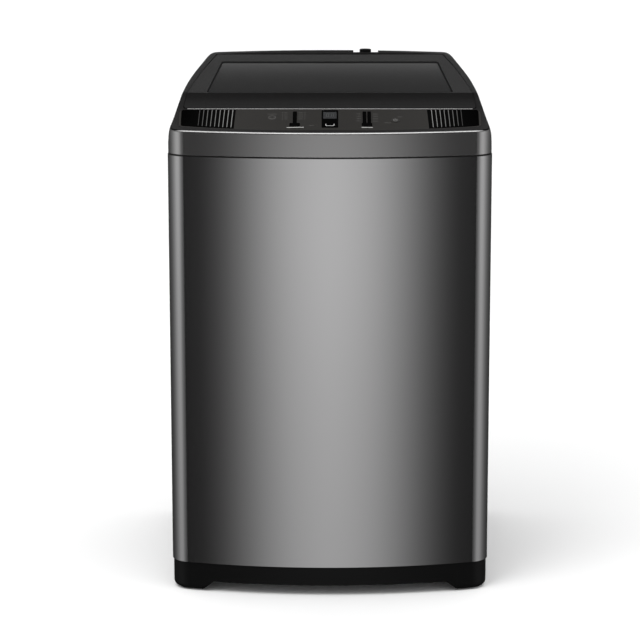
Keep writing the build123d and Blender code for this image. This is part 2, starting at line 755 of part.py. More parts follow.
with BuildPart() as program_button:
    add(key(tee(*LEFT_KEY), tee(*LEFT_KEY, grow=1.0), -0.6))
finish(program_button.part, "program_button")

with BuildPart() as level_button:
    add(key(tee(*RIGHT_KEY), tee([(54.2, 67.8, 72.0)], RIGHT_KEY[1], grow=1.0), -0.6))
finish(level_button.part, "level_button")

with BuildPart() as power_button:
    add(key(ring(0, POWER_KEY[2], POWER_KEY[:2]), ring(0, POWER_KEY[2] + 1, POWER_KEY[:2]), -0.6))
finish(power_button.part, "power_button")

with BuildPart() as start_button:
    add(key(start_face.sketch, start_flange.sketch, -1.0))
finish(start_button.part, "start_button")

with BuildPart() as control_box:
    with BuildSketch(PANEL.offset(-PANEL_WALL - 18)):
        with Locations((0, 45.9)):
            RectangleRounded(270, 57.8, 4)
        with Locations((0, 46.1)):
            RectangleRounded(266, 54.8, 3, mode=Mode.SUBTRACT)
    extrude(amount=22)
    add(below(WALL), mode=Mode.INTERSECT)
    with BuildSketch(PANEL.offset(-PANEL_WALL - 18)):
        with Locations((0, 45.9)):
            RectangleRounded(270, 57.8, 4)
    extrude(amount=-2)
    with BuildSketch(PANEL.offset(-PANEL_WALL - 18)):
        with Locations((-110, 47), (0, 62), (110, 60)):
            Circle(4)
    extrude(amount=8)
finish(control_box.part, "control_box")

with BuildPart() as control_board:
    with BuildSketch(PANEL.offset(-PANEL_WALL - 10)):
        with Locations((0, 47)):
            RectangleRounded(256, 50, 2)
    extrude(amount=1.6)
    with BuildSketch(PANEL.offset(-PANEL_WALL - 8.4)):
        with Locations((-58, 34), (0, 26), (61, 34), (108, 44)):
            Rectangle(6, 6)
        with Locations((0, 52)):
            Rectangle(24, 18)
        with Locations((-95, 50), (85, 56)):
            Rectangle(20, 14)
    extrude(amount=3.2)
finish(control_board.part, "control_board")

# ---------------------------------------------------------------------------
# Water inlet, detergent drawer, level sensor
# ---------------------------------------------------------------------------
with BuildPart() as dispenser_housing:
    with BuildSketch(Plane.XY.offset(DRAWER_Z - 3)):
        with Locations((0, (168.6 + 268) / 2)):
            Rectangle(134, 268 - 168.6)
    extrude(amount=56)
    with BuildSketch(Plane.XY.offset(DRAWER_Z)):
        with Locations((0, (160 + 236) / 2)):
            Rectangle(118, 236 - 160)
    extrude(amount=50, mode=Mode.SUBTRACT)
    with BuildSketch(Plane.XY.offset(DRAWER_Z)):
        with Locations((0, 252)):
            Rectangle(118, 26)
    extrude(amount=50, mode=Mode.SUBTRACT)
    with BuildSketch(Plane.XZ.offset(-230)):
        with Locations((0, DRAWER_Z + 42)):
            Rectangle(96, 8)
    extrude(amount=-12, mode=Mode.SUBTRACT)
    with BuildSketch(Plane.XY.offset(DRAWER_Z + 40)):
        with Locations((57, NOZZLE[1])):
            Circle(3.5)
    extrude(amount=30, mode=Mode.SUBTRACT)
    # lugs up to the deck
    with BuildSketch(Plane.XY.offset(DRAWER_Z + 53)):
        with Locations((-58, 186), (58, 186)):
            Circle(5)
    extrude(amount=lid_z(181, DECK_DROP + 2.55) - DRAWER_Z - 53)
finish(dispenser_housing.part, "dispenser_housing")

with BuildPart() as detergent_drawer:
    with BuildSketch(Plane.XY.offset(DRAWER_Z + 0.6)):
        with Locations((0, (167 + 232) / 2)):
            Rectangle(116.8, 232 - 167)
    extrude(amount=40)
    with Locations((0, 166.3, DRAWER_Z + 25)):
        Box(120.8, 4.0, 48.8)
    with BuildSketch(Plane.XY.offset(DRAWER_Z + 3)):
        with Locations((-29, 201), (29, 201)):
            RectangleRounded(54, 55, 6)
    extrude(amount=60, mode=Mode.SUBTRACT)
    # finger grip
    with Locations((0, 163, DRAWER_Z + 8)):
        Box(60, 3.6, 6)
finish(detergent_drawer.part, "detergent_drawer")

with BuildPart() as inlet_valve:
    with BuildSketch(Plane.XY.offset(DRAWER_Z + 53)):
        with Locations(NOZZLE):
            Circle(12.3)
    extrude(amount=836.5 - DRAWER_Z - 53)
    with BuildSketch(Plane.XY.offset(836.2)):
        with Locations(NOZZLE):
            RegularPolygon(15.0, 6)
    extrude(amount=5)
    with BuildSketch(Plane.XY.offset(841)):
        with Locations(NOZZLE):
            Circle(10.48)
    extrude(amount=Z_NOZZLE - 841)
    chamfer(inlet_valve.faces().sort_by(Axis.Z)[-1].edges(), 0.8)
    with BuildSketch(Plane.XY.offset(810)):
        with Locations(NOZZLE):
            Circle(6.5)
    extrude(amount=100, mode=Mode.SUBTRACT)
finish(inlet_valve.part, "inlet_valve")

with BuildPart() as valve_coil:
    with BuildSketch(Plane.YZ.offset(NOZZLE[0] + 12.3)):
        with Locations((NOZZLE[1] - 5, 820)):
            RectangleRounded(24, 24, 3)
    extrude(amount=26)
    with BuildSketch(Plane.YZ.offset(NOZZLE[0] + 38.3)):
        with Locations((NOZZLE[1] - 5, 820)):
            RectangleRounded(10, 8, 1)
    extrude(amount=7)
finish(valve_coil.part, "valve_coil")

SENSOR = (-120.0, 215.0)
with BuildPart() as level_sensor:
    with BuildSketch(Plane.XY.offset(762)):
        with Locations(SENSOR):
            Circle(22)
    extrude(amount=22)
    with BuildSketch(Plane.XY.offset(750)):
        with Locations(SENSOR):
            Circle(3.0)
    extrude(amount=12)
    with Locations((SENSOR[0], (234 + 272) / 2, 776)):
        Box(22, 38, 6)
finish(level_sensor.part, "level_sensor")

# ---------------------------------------------------------------------------
# Suspension
# ---------------------------------------------------------------------------
RODS = [(sx * ROD_X, sy * ROD_Y) for sx in (-1, 1) for sy in (-1, 1)]
with BuildPart() as hanger_plates:
    with BuildSketch(Plane.XY.offset(742.2)):
        add(plan(1.0, CAB_REAR - 1.0))
        Rectangle(352, 700, mode=Mode.SUBTRACT)
        Rectangle(700, 352, mode=Mode.SUBTRACT)
        with Locations(*RODS):
            Circle(ROD_R + 0.2, mode=Mode.SUBTRACT)
    extrude(amount=3.0)
finish(hanger_plates.part, "hanger_plates")

with BuildPart() as suspension_rods:
    with BuildSketch(Plane.XY.offset(262)):
        with Locations(*RODS):
            Circle(ROD_R)
    extrude(amount=745.2 - 262)
    for x, y in RODS:
        with Locations((x, y, 745.2)):
            Sphere(9, arc_size1=0, align=(Align.CENTER, Align.CENTER, Align.MIN))
finish(suspension_rods.part, "suspension_rods")

with BuildPart() as rod_seats:
    with BuildSketch(Plane.XY.offset(262)):
        with Locations(*RODS):
            Circle(20)
            Circle(ROD_R, mode=Mode.SUBTRACT)
    extrude(amount=5)
finish(rod_seats.part, "rod_seats")

with BuildPart() as suspension_springs:
    with BuildSketch(Plane.XY.offset(267)):
        with Locations(*RODS):
            Circle(16.5)
            Circle(12.5, mode=Mode.SUBTRACT)
    extrude(amount=59)
finish(suspension_springs.part, "suspension_springs")

with BuildPart() as damper_cups:
    with BuildSketch(Plane.XY.offset(326)):
        with Locations(*RODS):
            Circle(19)
            Circle(ROD_R + RUN, mode=Mode.SUBTRACT)
    extrude(amount=28)
finish(damper_cups.part, "damper_cups")

# ---------------------------------------------------------------------------
# Tub and what hangs below it
# ---------------------------------------------------------------------------
with BuildPart() as outer_tub:
    with BuildSketch(Plane.XY.offset(TUB_Z0)):
        Circle(TUB_R)
    extrude(amount=TUB_Z1 - TUB_Z0)
    fillet(outer_tub.faces().sort_by(Axis.Z)[0].edges(), 10)
    # arms to the suspension
    for x, y in RODS:
        ang = math.degrees(math.atan2(y, x))
        with Locations(Location(((x) * 0.87, (y) * 0.87, 340), (0, 0, ang))):
            Box(80, 46, 24)
        with Locations((x, y, 340)):
            Cylinder(24, 24)
    with BuildSketch(Plane.XY.offset(TUB_Z0 + 5)):
        Circle(TUB_R - 3)
    extrude(amount=TUB_Z1 - TUB_Z0, mode=Mode.SUBTRACT)
    for x, y in RODS:
        with Locations((x, y, 340)):
            Cylinder(19, 60, mode=Mode.SUBTRACT)
    # hoops round the wall
    for z in (430, 520, 610):
        with BuildSketch(Plane.XY.offset(z)):
            add(ring(TUB_R - 1, TUB_R + 3))
        extrude(amount=4)
    with BuildSketch(Plane.XY.offset(TUB_Z0 - 5)):
        Circle(24)
        with Locations(DRAIN):
            Circle(15)
    extrude(amount=20, mode=Mode.SUBTRACT)
finish(outer_tub.part, "outer_tub")

with BuildPart() as tub_ring:
    with BuildSketch(Plane.XY.offset(TUB_Z1)):
        add(ring(194, TUB_R + 2))
    extrude(amount=4)
    with BuildSketch(Plane.XY.offset(TUB_Z1 + 4)):
        add(ring(194, 197))
        add(ring(TUB_R - 2, TUB_R + 2))
    extrude(amount=6)
finish(tub_ring.part, "tub_ring")

with BuildPart() as air_trap:
    with BuildSketch(Plane.XY.offset(228)):
        with Locations((SENSOR[0], 208)):
            RectangleRounded(30, 34, 4)
        Circle(TUB_R, mode=Mode.SUBTRACT)
    extrude(amount=40)
    with BuildSketch(Plane.XY.offset(268)):
        with Locations(SENSOR):
            Circle(3.0)
    extrude(amount=12)
finish(air_trap.part, "air_trap")

with BuildPart() as pressure_hose:
    with BuildSketch(Plane.XY.offset(280)):
        with Locations(SENSOR):
            Circle(4.0)
            Circle(2.4, mode=Mode.SUBTRACT)
    extrude(amount=470)
finish(pressure_hose.part, "pressure_hose")

with BuildPart() as drive_bracket:
    with BuildSketch(Plane.XY.offset(TUB_Z0 - 4)):
        with Locations((-65, 0)):
            RectangleRounded(300, 118, 20)
        Circle(24, mode=Mode.SUBTRACT)
    extrude(amount=4)
    with BuildSketch(Plane.XY.offset(TUB_Z0 - 16)):
        with Locations((-65, 57.5), (-65, -57.5)):
            Rectangle(260, 3)
    extrude(amount=12)
finish(drive_bracket.part, "drive_bracket")

with BuildPart() as clutch_housing:
    with BuildSketch(Plane.XY.offset(112)):
        Circle(55)
    extrude(amount=74)
    fillet(clutch_housing.faces().sort_by(Axis.Z)[0].edges(), 8)
    with BuildSketch(Plane.XY.offset(186)):
        Circle(53)
    extrude(amount=10)
    with BuildSketch(Plane.XY.offset(150)):
        Circle(SHAFT_R + RUN)
    extrude(amount=60, mode=Mode.SUBTRACT)
    with BuildSketch(Plane.XY.offset(100)):
        Circle(WASH_R + RUN)
    extrude(amount=60, mode=Mode.SUBTRACT)
finish(clutch_housing.part, "clutch_housing")

with BuildPart() as shaft_seal:
    with BuildSketch(Plane.XY.offset(TUB_Z0 - 4)):
        add(ring(SHAFT_R + RUN, 24))
    extrude(amount=16)
    with BuildSketch(Plane.XY.offset(TUB_Z0 + 5)):
        add(ring(SHAFT_R + RUN, 28))
    extrude(amount=5)
finish(shaft_seal.part, "shaft_seal")

with BuildPart() as motor_body:
    with BuildSketch(Plane.XY.offset(108)):
        with Locations((MOTOR_X, 0)):
            Circle(52)
    extrude(amount=88)
    fillet(motor_body.faces().sort_by(Axis.Z)[0].edges(), 10)
    with BuildSketch(Plane.XY.offset(124)):
        with Locations((MOTOR_X, 0)):
            Circle(54.5)
    extrude(amount=44)
    with BuildSketch(Plane.XY.offset(100)):
        with Locations((MOTOR_X, 0)):
            Circle(6 + RUN)
    extrude(amount=60, mode=Mode.SUBTRACT)
finish(motor_body.part, "motor_body")


def pulley(r, bore_r, at, hub):
    with BuildPart() as p:
        with BuildSketch(Plane.XY.offset(PULLEY_Z0)):
            with Locations(at):
                Circle(r)
        extrude(amount=PULLEY_Z1 - PULLEY_Z0)
        with BuildSketch(Plane.XY.offset(PULLEY_Z0 + 4)):
            add(ring(r - GROOVE, r + 2, at))
        extrude(amount=PULLEY_Z1 - PULLEY_Z0 - 8, mode=Mode.SUBTRACT)
        if hub:
            with BuildSketch(Plane.XY.offset(PULLEY_Z0)):
                add(ring(hub, r - GROOVE - 5, at))
            extrude(amount=7, mode=Mode.SUBTRACT)
            with BuildSketch(Plane.XY.offset(PULLEY_Z1)):
                add(ring(hub, r - GROOVE - 5, at))
            extrude(amount=-7, mode=Mode.SUBTRACT)
        if bore_r:
            with BuildSketch(Plane.XY.offset(PULLEY_Z0 - 2)):
                with Locations(at):
                    Circle(bore_r)
            extrude(amount=40, mode=Mode.SUBTRACT)
    return p.part


with BuildPart() as clutch_pulley:
    add(pulley(CLUTCH_PULLEY_R, 0, (0, 0), 16))
    with BuildSketch(Plane.XY.offset(PULLEY_Z1)):
        Circle(14)
    extrude(amount=8)
    with BuildSketch(Plane.XY.offset(PULLEY_Z1)):
        Circle(WASH_R)
    extrude(amount=44)
finish(clutch_pulley.part, "clutch_pulley")

with BuildPart() as motor_pulley:
    add(pulley(MOTOR_PULLEY_R, 0, (MOTOR_X, 0), 0))
    with BuildSketch(Plane.XY.offset(PULLEY_Z1)):
        with Locations((MOTOR_X, 0)):
            Circle(6)
    extrude(amount=60)
finish(motor_pulley.part, "motor_pulley")


def belt_outline(gap):
    with BuildSketch(mode=Mode.PRIVATE) as s:
        Circle(CLUTCH_PULLEY_R - GROOVE + gap)
        with Locations((MOTOR_X, 0)):
            Circle(MOTOR_PULLEY_R - GROOVE + gap)
        make_hull()
    return s.sketch


with BuildPart() as drive_belt:
    with BuildSketch(Plane.XY.offset(PULLEY_Z0 + 4.6)):
        add(belt_outline(7.0))
        add(belt_outline(0.3), mode=Mode.SUBTRACT)
    extrude(amount=PULLEY_Z1 - PULLEY_Z0 - 9.2)
finish(drive_belt.part, "drive_belt")

with BuildPart() as drain_valve:
    with BuildSketch(Plane.XY.offset(BELLOWS_Z1 + 6)):
        with Locations(DRAIN):
            Circle(21)
    extrude(amount=TUB_Z0 - BELLOWS_Z1 - 6)
    with BuildSketch(Plane.XY.offset(BELLOWS_Z1)):
        with Locations(DRAIN):
            Circle(15)
    extrude(amount=6)
    with BuildSketch(Plane.YZ.offset(DRAIN[0] - 19)):
        with Locations((DRAIN[1], 181)):
            Circle(13)
    extrude(amount=-30)
    with BuildSketch(Plane.XY.offset(BELLOWS_Z1 - 2)):
        with Locations(DRAIN):
            Circle(11)
    extrude(amount=70, mode=Mode.SUBTRACT)
finish(drain_valve.part, "drain_valve")

with BuildPart() as drain_actuator:
    with Locations((44, DRAIN[1], 181)):
        Box(54, 50, 38)
    fillet(drain_actuator.edges().filter_by(Axis.Z), 6)
finish(drain_actuator.part, "drain_actuator")

with BuildPart() as drain_hose:
    with BuildSketch(Plane.XZ.offset(-DRAIN[1])):
        with BuildLine():
            n = 9
            step = (BELLOWS_Z1 - BELLOWS_Z0) / n
            pts = [(DRAIN[0] + 11.5, BELLOWS_Z0)]
            for i in range(n):
                z = BELLOWS_Z0 + i * step
                pts += [
                    (DRAIN[0] + 14.2, z), (DRAIN[0] + 14.2, z + step * 0.25),
                    (DRAIN[0] + 17.0, z + step * 0.4), (DRAIN[0] + 17.0, z + step * 0.85),
                ]
            pts += [(DRAIN[0] + 14.2, BELLOWS_Z1), (DRAIN[0] + 11.5, BELLOWS_Z1)]
            Polyline(*pts, close=True)
        make_face()
    revolve(axis=Axis((DRAIN[0], DRAIN[1], 0), (0, 0, 1)))
finish(drain_hose.part, "drain_hose")

with BuildPart() as drain_outlet:
    with BuildSketch(Plane.XZ.offset(-DRAIN[1])):
        with Locations((DRAIN[0], OUTLET_Z)):
            Circle(15)
    extrude(amount=-(REAR - 1 - DRAIN[1]))
    with BuildSketch(Plane.XY.offset(OUTLET_Z)):
        with Locations(DRAIN):
            Circle(15)
    extrude(amount=BELLOWS_Z0 - OUTLET_Z)
    with Locations((DRAIN[0], DRAIN[1], OUTLET_Z)):
        Sphere(15)
    with BuildSketch(Plane.XZ.offset(-CAB_REAR)):
        with Locations((DRAIN[0], OUTLET_Z)):
            Circle(21)
    extrude(amount=2.5)
    with BuildSketch(Plane.XZ.offset(-DRAIN[1])):
        with Locations((DRAIN[0], OUTLET_Z)):
            Circle(11.5)
    extrude(amount=-200, mode=Mode.SUBTRACT)
    with BuildSketch(Plane.XY.offset(OUTLET_Z)):
        with Locations(DRAIN):
            Circle(11.5)
    extrude(amount=60, mode=Mode.SUBTRACT)
finish(drain_outlet.part, "drain_outlet")

# ---------------------------------------------------------------------------
# Basket
# ---------------------------------------------------------------------------
with BuildPart() as basket_shell:
    with BuildSketch(Plane.XY.offset(245)):
        add(ring(BASKET_R - 1.2, BASKET_R))
    extrude(amount=387)
finish(basket_shell.part, "basket_shell")

with BuildPart() as balance_ring:
    with BuildSketch(Plane.XY.offset(632)):
        add(ring(180, 213))
    extrude(amount=31)
    fillet(balance_ring.faces().sort_by(Axis.Z)[-1].edges(), 8)
    with BuildSketch(Plane.XY.offset(622)):
        add(ring(193, BASKET_R - 1.2))
    extrude(amount=10)
finish(balance_ring.part, "balance_ring")

with BuildPart() as basket_base:
    with BuildSketch(Plane.XZ):
        with BuildLine():
            Polyline(
                (SHAFT_R, 245), (BASKET_R - 1.2, 245), (BASKET_R - 1.2, 296), (190, 288), (181, 262),
                (176, 252), (40, 252), (SHAFT_R, 252), close=True,
            )
        make_face()
    revolve(axis=Axis.Z)
finish(basket_base.part, "basket_base")

with BuildPart() as basket_flange:
    with BuildSketch(Plane.XY.offset(238)):
        Circle(70)
        with PolarLocations(0, 3):
            with Locations((85, 0)):
                RectangleRounded(170, 44, 10)
        Circle(SHAFT_R, mode=Mode.SUBTRACT)
    extrude(amount=7)
finish(basket_flange.part, "basket_flange")

with BuildPart() as spin_shaft:
    with BuildSketch(Plane.XY.offset(164)):
        add(ring(WASH_R + RUN, SHAFT_R))
    extrude(amount=90)
finish(spin_shaft.part, "spin_shaft")

with BuildPart() as lint_filters:
    for sy in (-1, 1):
        with BuildSketch(Plane.XY.offset(350)):
            Circle(BASKET_R - 1.2)
            Circle(BASKET_R - 14, mode=Mode.SUBTRACT)
            with Locations((0, sy * 200)):
                Rectangle(84, 60, mode=Mode.INTERSECT)
        extrude(amount=120)
finish(lint_filters.part, "lint_filters")

# ---------------------------------------------------------------------------
# Pulsator on the inner shaft
# ---------------------------------------------------------------------------
with BuildPart() as pulsator:
    with BuildSketch(Plane.XZ):
        with BuildLine():
            Line((WASH_R, 256), (168, 258))
            ThreePointArc((168, 258), (171, 264), (168, 270))
            Spline((168, 270), (120, 268), (60, 276), (26, 294), (WASH_R, 298))
            Line((WASH_R, 298), (WASH_R, 256))
        make_face()
    revolve(axis=Axis.Z)
    with PolarLocations(0, 6):
        with BuildSketch(Plane.XZ):
            with BuildLine():
                Polyline((24, 266), (24, 292), (60, 284), (120, 280), (160, 272), (160, 262), close=True)
            make_face()
        extrude(amount=6, both=True)
finish(pulsator.part, "pulsator")

with BuildPart() as pulsator_cap:
    with BuildSketch(Plane.XY.offset(298)):
        Circle(16)
    extrude(amount=7)
    fillet(pulsator_cap.faces().sort_by(Axis.Z)[-1].edges(), 4)
finish(pulsator_cap.part, "pulsator_cap")

with BuildPart() as wash_shaft:
    with BuildSketch(Plane.XY.offset(140)):
        Circle(WASH_R)
    extrude(amount=158)
finish(wash_shaft.part, "wash_shaft")
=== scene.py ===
import json
import math
import random

import bmesh
import bpy
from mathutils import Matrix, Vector


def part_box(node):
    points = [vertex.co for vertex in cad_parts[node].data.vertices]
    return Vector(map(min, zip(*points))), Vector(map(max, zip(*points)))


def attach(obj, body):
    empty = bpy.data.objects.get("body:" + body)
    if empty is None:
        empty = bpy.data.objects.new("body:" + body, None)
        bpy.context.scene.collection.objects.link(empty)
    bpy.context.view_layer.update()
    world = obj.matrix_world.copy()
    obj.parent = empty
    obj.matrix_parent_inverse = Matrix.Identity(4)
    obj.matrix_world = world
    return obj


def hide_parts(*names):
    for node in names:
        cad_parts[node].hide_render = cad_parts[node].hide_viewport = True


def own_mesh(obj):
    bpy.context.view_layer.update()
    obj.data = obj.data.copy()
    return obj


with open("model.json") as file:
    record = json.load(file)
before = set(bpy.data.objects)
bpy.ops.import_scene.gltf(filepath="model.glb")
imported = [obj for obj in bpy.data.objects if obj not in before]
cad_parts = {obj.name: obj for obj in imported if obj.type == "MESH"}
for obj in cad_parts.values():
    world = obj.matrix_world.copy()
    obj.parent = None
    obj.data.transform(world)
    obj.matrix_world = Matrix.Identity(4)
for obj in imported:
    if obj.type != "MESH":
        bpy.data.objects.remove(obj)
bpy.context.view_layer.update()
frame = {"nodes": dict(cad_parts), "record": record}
nodes = frame["nodes"]
scene = bpy.context.scene
rnd = random.Random(7)

scene.view_settings.view_transform = "Standard"
scene.view_settings.look = "None"
scene.view_settings.exposure = 0.0
scene.view_settings.gamma = 1.0

FRONT = -0.275


# ---------------------------------------------------------------------------
# Materials
# ---------------------------------------------------------------------------
def mat(name, color, metallic=0.0, rough=0.5, ior=1.5, coat=0.0, coat_rough=0.1, spec=None,
        transmission=0.0, aniso=0.0, bump=None, flecks=None, rough_var=None, alpha=1.0, emit=None):
    m = bpy.data.materials.new(name)
    m.use_nodes = True
    nt = m.node_tree
    b = nt.nodes["Principled BSDF"]
    b.inputs["Base Color"].default_value = (*color, 1.0)
    b.inputs["Metallic"].default_value = metallic
    b.inputs["Roughness"].default_value = rough
    b.inputs["IOR"].default_value = ior
    b.inputs["Coat Weight"].default_value = coat
    b.inputs["Coat Roughness"].default_value = coat_rough
    b.inputs["Transmission Weight"].default_value = transmission
    b.inputs["Anisotropic"].default_value = aniso
    b.inputs["Alpha"].default_value = alpha
    if spec is not None:
        b.inputs["Specular IOR Level"].default_value = spec
    if emit:
        b.inputs["Emission Color"].default_value = (*emit[0], 1.0)
        b.inputs["Emission Strength"].default_value = emit[1]
    tc = nt.nodes.new("ShaderNodeTexCoord")
    if bump:
        scale, strength, dist = bump[:3]
        noise = nt.nodes.new("ShaderNodeTexNoise")
        noise.inputs["Scale"].default_value = scale
        noise.inputs["Detail"].default_value = 3.0
        node = nt.nodes.new("ShaderNodeBump")
        node.inputs["Strength"].default_value = strength
        node.inputs["Distance"].default_value = dist
        src = tc.outputs["Object"]
        if len(bump) > 3:
            mp = nt.nodes.new("ShaderNodeMapping")
            mp.inputs["Scale"].default_value = bump[3]
            nt.links.new(src, mp.inputs["Vector"])
            src = mp.outputs["Vector"]
        nt.links.new(src, noise.inputs["Vector"])
        nt.links.new(noise.outputs["Fac"], node.inputs["Height"])
        nt.links.new(node.outputs["Normal"], b.inputs["Normal"])
    if flecks:
        scale, low, high = flecks
        noise = nt.nodes.new("ShaderNodeTexNoise")
        noise.inputs["Scale"].default_value = scale
        noise.inputs["Detail"].default_value = 2.0
        ramp = nt.nodes.new("ShaderNodeValToRGB")
        ramp.color_ramp.elements[0].position = 0.35
        ramp.color_ramp.elements[0].color = (*low, 1.0)
        ramp.color_ramp.elements[1].position = 0.65
        ramp.color_ramp.elements[1].color = (*high, 1.0)
        nt.links.new(tc.outputs["Object"], noise.inputs["Vector"])
        nt.links.new(noise.outputs["Fac"], ramp.inputs["Fac"])
        nt.links.new(ramp.outputs["Color"], b.inputs["Base Color"])
    if rough_var:
        scale, low, high = rough_var
        noise = nt.nodes.new("ShaderNodeTexNoise")
        noise.inputs["Scale"].default_value = scale
        noise.inputs["Detail"].default_value = 4.0
        mr = nt.nodes.new("ShaderNodeMapRange")
        mr.inputs["To Min"].default_value = low
        mr.inputs["To Max"].default_value = high
        nt.links.new(tc.outputs["Object"], noise.inputs["Vector"])
        nt.links.new(noise.outputs["Fac"], mr.inputs["Value"])
        nt.links.new(mr.outputs["Result"], b.inputs["Roughness"])
    return m


M = {
    "cabinet_paint": mat("cabinet_paint", (0.40, 0.398, 0.40), 1.0, 0.18, flecks=(2600, (0.385, 0.383, 0.386), (0.415, 0.413, 0.415)),
                         bump=(900, 0.05, 0.0002)),
    "cabinet_inside": mat("cabinet_inside", (0.45, 0.46, 0.47), 0.7, 0.5),
    "fascia_silver": mat("fascia_silver", (0.39, 0.386, 0.386), 1.0, 0.27, flecks=(2600, (0.375, 0.371, 0.371), (0.405, 0.401, 0.401))),
    "cover_plastic": mat("cover_plastic", (0.0080, 0.0077, 0.0077), 0.0, 0.26, ior=1.33, spec=0.45, bump=(1400, 0.10, 0.0002)),
    "lid_plastic": mat("lid_plastic", (0.0060, 0.0058, 0.0058), 0.0, 0.22, ior=1.27, spec=0.50, bump=(1400, 0.05, 0.0002)),
    "black_plastic": mat("black_plastic", (0.0020, 0.0020, 0.0021), 0.0, 0.42, spec=0.15, bump=(1100, 0.15, 0.0003)),
    "panel_plastic": mat("panel_plastic", (0.0176, 0.0166, 0.0153), 0.0, 0.30, spec=0.20),
    "gloss_black": mat("gloss_black", (0.0004, 0.0004, 0.0004), 0.0, 0.07, ior=1.08, spec=0.5),
    "rib_silver": mat("rib_silver", (0.30, 0.30, 0.295), 0.3, 0.4),
    "gasket": mat("gasket", (0.003, 0.003, 0.003), 0.0, 0.55, spec=0.12),
    "key_grey": mat("key_grey", (0.022, 0.021, 0.020), 0.0, 0.32, spec=0.25),
    "tinted_glass": mat("tinted_glass", (0.055, 0.057, 0.058), 0.0, 0.03, ior=1.5, transmission=1.0),
    "trim_light": mat("trim_light", (0.80, 0.795, 0.79), 0.3, 0.35),
    "galvanised": mat("galvanised", (0.56, 0.57, 0.58), 0.75, 0.42, flecks=(110, (0.545, 0.555, 0.565), (0.625, 0.635, 0.645))),
    "stainless": mat("stainless", (0.66, 0.655, 0.645), 1.0, 0.26, bump=(300, 0.08, 0.0003, (0.15, 0.15, 8.0))),
    "white_plastic": mat("white_plastic", (0.72, 0.73, 0.73), 0.0, 0.38),
    "grey_plastic": mat("grey_plastic", (0.42, 0.44, 0.46), 0.0, 0.38),
    "blue_plastic": mat("blue_plastic", (0.35, 0.41, 0.49), 0.0, 0.30),
    "steel": mat("steel", (0.60, 0.60, 0.60), 1.0, 0.28, rough_var=(90, 0.22, 0.36)),
    "rubber_black": mat("rubber_black", (0.012, 0.012, 0.012), 0.0, 0.62, bump=(900, 0.2, 0.0003)),
    "cast_alu": mat("cast_alu", (0.58, 0.58, 0.59), 0.95, 0.45, bump=(450, 0.35, 0.0004)),
    "motor_paint": mat("motor_paint", (0.035, 0.036, 0.04), 0.3, 0.42),
    "board_green": mat("board_green", (0.01, 0.10, 0.035), 0.0, 0.3),
    "hose_grey": mat("hose_grey", (0.30, 0.31, 0.32), 0.0, 0.5),
    "print_light": mat("print_light", (0.55, 0.55, 0.54), 0.0, 0.5),
    "print_mid": mat("print_mid", (0.15, 0.147, 0.143), 0.0, 0.5),
    "print_dim": mat("print_dim", (0.095, 0.092, 0.089), 0.0, 0.5),
    "digit_off": mat("digit_off", (0.045, 0.047, 0.048), 0.0, 0.3),
    "display_grey": mat("display_grey", (0.019, 0.020, 0.021), 0.0, 0.18),
}

# the band's face leans back a little
nt = M["fascia_silver"].node_tree
tc, sep, lean, tilt = (nt.nodes.new("ShaderNode" + k) for k in ("TexCoord", "SeparateXYZ", "Math", "Bump"))
lean.operation = "MULTIPLY"
lean.inputs[1].default_value = -math.tan(math.radians(3.0))
tilt.inputs["Strength"].default_value = 1.0
tilt.inputs["Distance"].default_value = 1.0
nt.links.new(tc.outputs["Object"], sep.inputs[0])
nt.links.new(sep.outputs["Z"], lean.inputs[0])
nt.links.new(lean.outputs[0], tilt.inputs["Height"])
nt.links.new(tilt.outputs["Normal"], nt.nodes["Principled BSDF"].inputs["Normal"])

# the ribs' colour is painted darker towards the outer ends of the panel: painted shade, standing in for their
# reflection falling off
nt = M["rib_silver"].node_tree
tc, sep, out_x = nt.nodes.new("ShaderNodeTexCoord"), nt.nodes.new("ShaderNodeSeparateXYZ"), nt.nodes.new("ShaderNodeMath")
out_x.operation = "ABSOLUTE"
rib_shade_fac = nt.nodes.new("ShaderNodeMapRange")
rib_shade_fac.inputs["From Min"].default_value, rib_shade_fac.inputs["From Max"].default_value = 0.16, 0.222
rib_shade_fac.inputs["To Min"].default_value, rib_shade_fac.inputs["To Max"].default_value = 0.0, 1.0
ramp = nt.nodes.new("ShaderNodeValToRGB")
ramp.color_ramp.elements[0].color = (0.26, 0.26, 0.255, 1.0)
ramp.color_ramp.elements[1].color = (0.004, 0.004, 0.004, 1.0)
mid = ramp.color_ramp.elements.new(0.7)
mid.color = (0.11, 0.11, 0.108, 1.0)
nt.links.new(tc.outputs["Object"], sep.inputs[0])
nt.links.new(sep.outputs["X"], out_x.inputs[0])
nt.links.new(out_x.outputs[0], rib_shade_fac.inputs["Value"])
nt.links.new(rib_shade_fac.outputs["Result"], ramp.inputs["Fac"])
nt.links.new(ramp.outputs["Color"], nt.nodes["Principled BSDF"].inputs["Base Color"])

slot_of = {s["node"]: s["material_slot"] for s in frame["record"]["subparts"]}
for name, o in nodes.items():
    key = slot_of.get(name, "black_plastic")
    if name in ("lid_frame",):
        key = "lid_plastic"
    o.data.materials.clear()
    o.data.materials.append(M[key])


# ---------------------------------------------------------------------------
# Helpers
# ---------------------------------------------------------------------------
class Plane3:
    def __init__(self, origin, x, y):
        self.o, self.x, self.y = Vector(origin), Vector(x).normalized(), Vector(y).normalized()
        self.n = self.x.cross(self.y)

    def at(self, u, v, w=0.0):
        return self.o + self.x * (u / 1000) + self.y * (v / 1000) + self.n * (w / 1000)


PA = math.atan2(29.6, 75.5)
PANEL_LOW, PANEL_TOP = 789.6, 819.2


